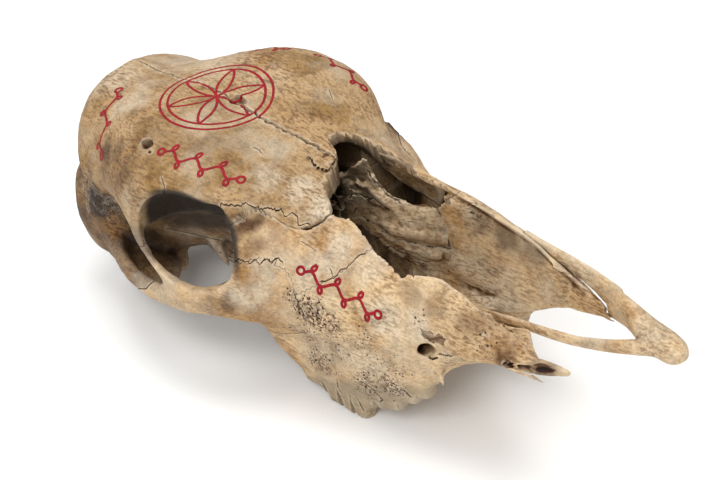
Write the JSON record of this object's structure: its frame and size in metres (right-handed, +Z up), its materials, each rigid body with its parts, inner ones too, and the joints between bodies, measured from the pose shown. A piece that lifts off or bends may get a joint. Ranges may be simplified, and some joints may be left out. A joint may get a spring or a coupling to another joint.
{
  "type": "cow skull",
  "caption": "Dry upper skull of a young hornless cow, without lower jaw, nasal bones and right premaxilla, split into its bones as a still museum model.",
  "frame": {"origin": "on the floor under the middle of the skull's box", "axes": "+X from the poll towards the muzzle, +Y to the animal's left, +Z up; the skull rests on its cheek teeth and the back of its base"},
  "size_m": [0.4184, 0.1913, 0.1476],
  "materials": {
    "frontal_bone": "dry bone, matt",
    "case_bone": "dry bone, matt, stained",
    "cheek_bone": "dry bone, matt",
    "face_bone": "dry bone, matt, bleached",
    "palate_bone": "dry bone, matt, in the shade"
  },
  "bodies": {
    "root": {"frontal_right": "frontal_bone", "frontal_left": "frontal_bone", "occipital": "case_bone", "braincase": "case_bone", "temporal_right": "case_bone", "temporal_left": "case_bone", "lacrimal_right": "cheek_bone", "lacrimal_left": "cheek_bone", "zygomatic_right": "cheek_bone", "zygomatic_left": "cheek_bone", "maxilla_right": "face_bone", "maxilla_left": "face_bone", "premaxilla_left": "face_bone", "palatine_right": "palate_bone", "palatine_left": "palate_bone", "vomer": "palate_bone"}
  },
  "joints": []
}
